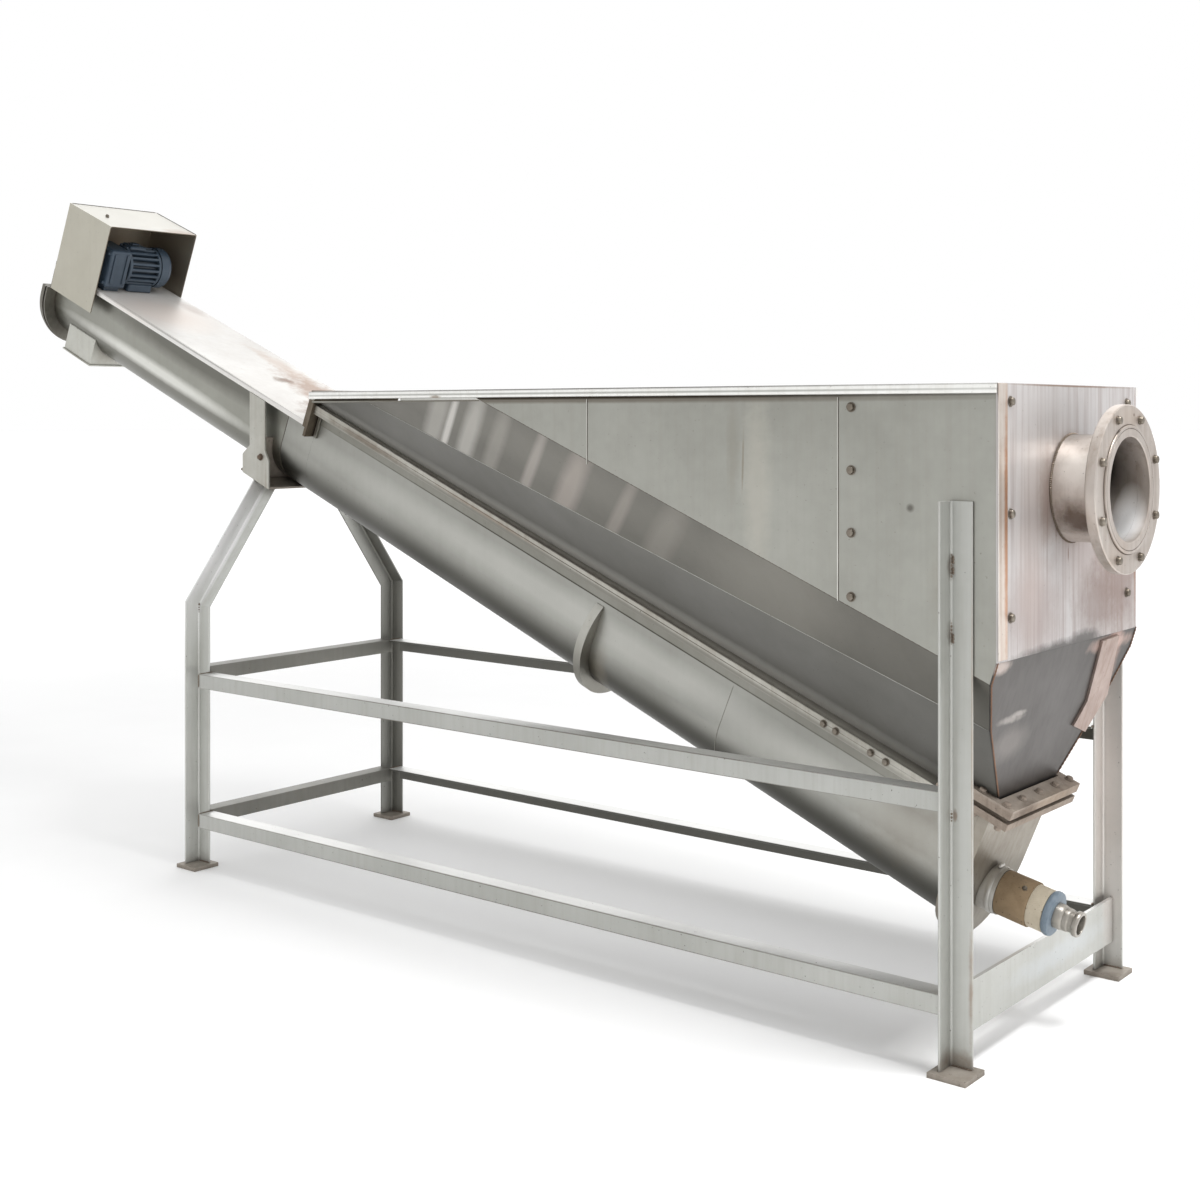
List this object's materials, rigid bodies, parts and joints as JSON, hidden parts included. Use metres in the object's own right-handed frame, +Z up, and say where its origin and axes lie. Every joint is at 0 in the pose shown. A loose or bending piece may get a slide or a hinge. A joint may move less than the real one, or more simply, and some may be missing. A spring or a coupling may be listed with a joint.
{
  "type": "inclined screw conveyor",
  "caption": "Inclined screw conveyor with a wedge-shaped settling tank, hooded drive and welded angle frame.",
  "frame": {"origin": "on the floor under the middle of the machine's bounding box", "axes": "+X from the drive towards the tank's inlet, +Z up; the front faces -Y"},
  "size_m": [3.6683, 0.8206, 1.936],
  "materials": {
    "satin_stainless": "satin, weathered",
    "stained_stainless": "satin, water-stained",
    "frame_stainless": "satin",
    "grimy_steel": "dirty",
    "corroded_flange": "corroded",
    "gasket_rubber": "matte",
    "blue_grey_enamel": "satin enamel",
    "clamp_steel": "satin",
    "canvas_hose": "worn canvas",
    "blue_plastic": "matte"
  },
  "bodies": {
    "root": {"corner_bracket": "stained_stainless", "cover_end_flange": "stained_stainless", "cover_plate": "satin_stainless", "deck_plate_back": "satin_stainless", "deck_plate_front": "satin_stainless", "discharge_chute": "satin_stainless", "drain_clamp": "clamp_steel", "drain_nozzle": "frame_stainless", "drain_ring": "blue_plastic", "drain_sleeve": "canvas_hose", "drive_hood": "satin_stainless", "end_crossbar": "frame_stainless", "fan_cowl": "blue_grey_enamel", "flange_gasket": "gasket_rubber", "foot_plate_back_left": "grimy_steel", "foot_plate_back_right": "grimy_steel", "foot_plate_front_left": "grimy_steel", "foot_plate_front_right": "grimy_steel", "gearbox": "blue_grey_enamel", "inlet_flange": "stained_stainless", "inlet_pipe": "stained_stainless", "leg_back_left": "frame_stainless", "leg_back_right": "frame_stainless", "leg_front_left": "frame_stainless", "leg_front_right": "frame_stainless", "lower_end_flange": "satin_stainless", "lower_end_plate": "stained_stainless", "lower_panel_back": "satin_stainless", "lower_panel_front": "satin_stainless", "lower_rail_back": "frame_stainless", "lower_rail_front": "frame_stainless", "lower_rail_left": "frame_stainless", "motor": "blue_grey_enamel", "rim_back": "frame_stainless", "rim_front": "frame_stainless", "saddle": "grimy_steel", "saddle_strap_back": "satin_stainless", "saddle_strap_front": "satin_stainless", "screw_flight_head": "frame_stainless", "screw_flight_middle": "frame_stainless", "screw_flight_tail": "frame_stainless", "screw_shaft": "frame_stainless", "tail_plate": "stained_stainless", "tank_bottom_flange": "corroded_flange", "tank_end_slope": "stained_stainless", "tank_end_wall": "stained_stainless", "tank_foot_angle_back": "stained_stainless", "tank_foot_angle_front": "stained_stainless", "tank_wall_back": "satin_stainless", "tank_wall_front": "satin_stainless", "trough_lower": "satin_stainless", "trough_ring": "satin_stainless", "trough_top_flange": "corroded_flange", "trough_upper": "satin_stainless", "upper_end_plate": "satin_stainless", "upper_panel_back": "satin_stainless", "upper_panel_front": "satin_stainless", "upper_rail_back": "frame_stainless", "upper_rail_front": "frame_stainless", "upper_rail_left": "frame_stainless"}
  },
  "joints": []
}
